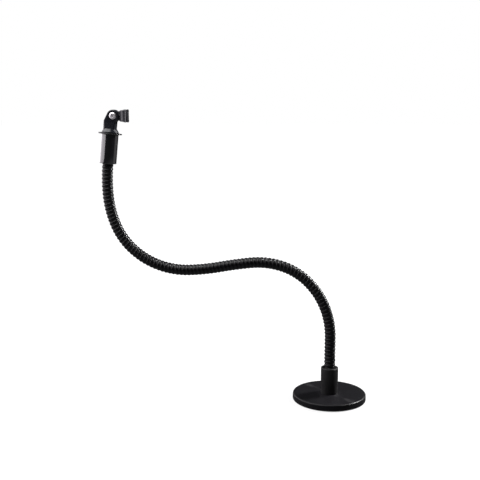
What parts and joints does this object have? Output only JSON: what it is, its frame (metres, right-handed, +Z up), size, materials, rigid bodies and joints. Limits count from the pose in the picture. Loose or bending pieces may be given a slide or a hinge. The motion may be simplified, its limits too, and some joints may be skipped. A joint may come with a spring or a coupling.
{
  "type": "desktop microphone stand",
  "caption": "Black desktop microphone stand: a round weighted base, a ribbed flexible gooseneck set in an S curve, and a small tilting spring clip at its tip.",
  "frame": {"origin": "centre of the round base's underside, on the surface that the stand rests on", "axes": "+Z up; the gooseneck's S curve lies in the XZ plane and leads towards -X; the microphone clip opens towards +X"},
  "size_m": [0.3726, 0.1016, 0.4011],
  "materials": {
    "base_black": "matt black fine-textured powder coat on a solid steel disc",
    "pad_rubber": "matt black rubber",
    "ferrule_black": "matt black paint on steel",
    "neck_black": "glossy black coating on the light-alloy winding",
    "sleeve_gloss": "glossy black",
    "disc_black": "satin black anodised",
    "bolt_steel": "zinc plated steel",
    "foot_plastic": "satin black moulded plastic",
    "insert_brass": "turned brass",
    "screw_bright": "bright nickel plated steel",
    "clip_plastic": "glossy dark grey moulded plastic"
  },
  "bodies": {
    "base": {"base_disc": "base_black", "rubber_pad": "pad_rubber", "base_bolt": "bolt_steel", "lock_washer": "bolt_steel", "lower_ferrule": "ferrule_black", "gooseneck_01": "neck_black"},
    "link_02": {"gooseneck_02": "neck_black"},
    "link_03": {"gooseneck_03": "neck_black"},
    "link_04": {"gooseneck_04": "neck_black"},
    "link_05": {"gooseneck_05": "neck_black"},
    "link_06": {"gooseneck_06": "neck_black"},
    "link_07": {"gooseneck_07": "neck_black"},
    "link_08": {"gooseneck_08": "neck_black"},
    "link_09": {"gooseneck_09": "neck_black"},
    "link_10": {"gooseneck_10": "neck_black"},
    "link_11": {"gooseneck_11": "neck_black"},
    "link_12": {"gooseneck_12": "neck_black", "upper_sleeve": "sleeve_gloss", "threaded_stud": "bolt_steel", "locking_disc": "disc_black"},
    "foot": {"clip_foot": "foot_plastic", "thread_insert": "insert_brass", "pivot_screw": "screw_bright", "pivot_nut": "screw_bright"},
    "clip": {"mic_clip": "clip_plastic"}
  },
  "joints": [
    {"name": "neck_sway_01", "type": "hinge", "parent": "base", "child": "link_02", "pos_m": [0, 0, 0.0893], "axis": [1, 0, 0], "range_deg": [-25, 25]},
    {"name": "neck_bend_02", "type": "hinge", "parent": "link_02", "child": "link_03", "pos_m": [-0.00817, 0, 0.13135], "axis": [0.0007, -1, -0.0016], "range_deg": [-30, 10]},
    {"name": "neck_bend_03", "type": "hinge", "parent": "link_03", "child": "link_04", "pos_m": [-0.0321, 0, 0.16682], "axis": [-0.0013, -1, 0.0012], "range_deg": [-26, 10]},
    {"name": "neck_bend_04", "type": "hinge", "parent": "link_04", "child": "link_05", "pos_m": [-0.06905, 0, 0.18816], "axis": [0.0017, -1, -0.0005], "range_deg": [-25, 10]},
    {"name": "neck_bend_05", "type": "hinge", "parent": "link_05", "child": "link_06", "pos_m": [-0.11173, 0, 0.19151], "axis": [-0.0017, -1, -0.0002], "range_deg": [-20, 10]},
    {"name": "neck_sway_06", "type": "hinge", "parent": "link_06", "child": "link_07", "pos_m": [-0.15429, 0, 0.18477], "axis": [0.1908, 0, -0.9816], "range_deg": [-25, 25]},
    {"name": "neck_bend_07", "type": "hinge", "parent": "link_07", "child": "link_08", "pos_m": [-0.19704, 0, 0.17952], "axis": [-0.0017, 1, -0.0001], "range_deg": [-20, 10]},
    {"name": "neck_bend_08", "type": "hinge", "parent": "link_08", "child": "link_09", "pos_m": [-0.23946, 0, 0.18549], "axis": [0.0017, 1, -0.0006], "range_deg": [-26, 10]},
    {"name": "neck_bend_09", "type": "hinge", "parent": "link_09", "child": "link_10", "pos_m": [-0.27634, 0, 0.20722], "axis": [-0.0013, 1, 0.0012], "range_deg": [-28, 10]},
    {"name": "neck_bend_10", "type": "hinge", "parent": "link_10", "child": "link_11", "pos_m": [-0.30085, 0, 0.24222], "axis": [0.0007, 1, -0.0016], "range_deg": [-28, 10]},
    {"name": "neck_sway_11", "type": "hinge", "parent": "link_11", "child": "link_12", "pos_m": [-0.31051, 0, 0.28404], "axis": [0.9976, 0, 0.0698], "range_deg": [-25, 25]},
    {"name": "clip_turn", "type": "hinge", "parent": "link_12", "child": "foot", "pos_m": [-0.30536, 0, 0.36895], "axis": [0.1045, 0, 0.9945], "range_deg": [-180, 180]},
    {"name": "clip_tilt", "type": "hinge", "parent": "foot", "child": "clip", "pos_m": [-0.29994, 0, 0.39181], "axis": [0, -1, 0], "range_deg": [-20, 135]}
  ]
}
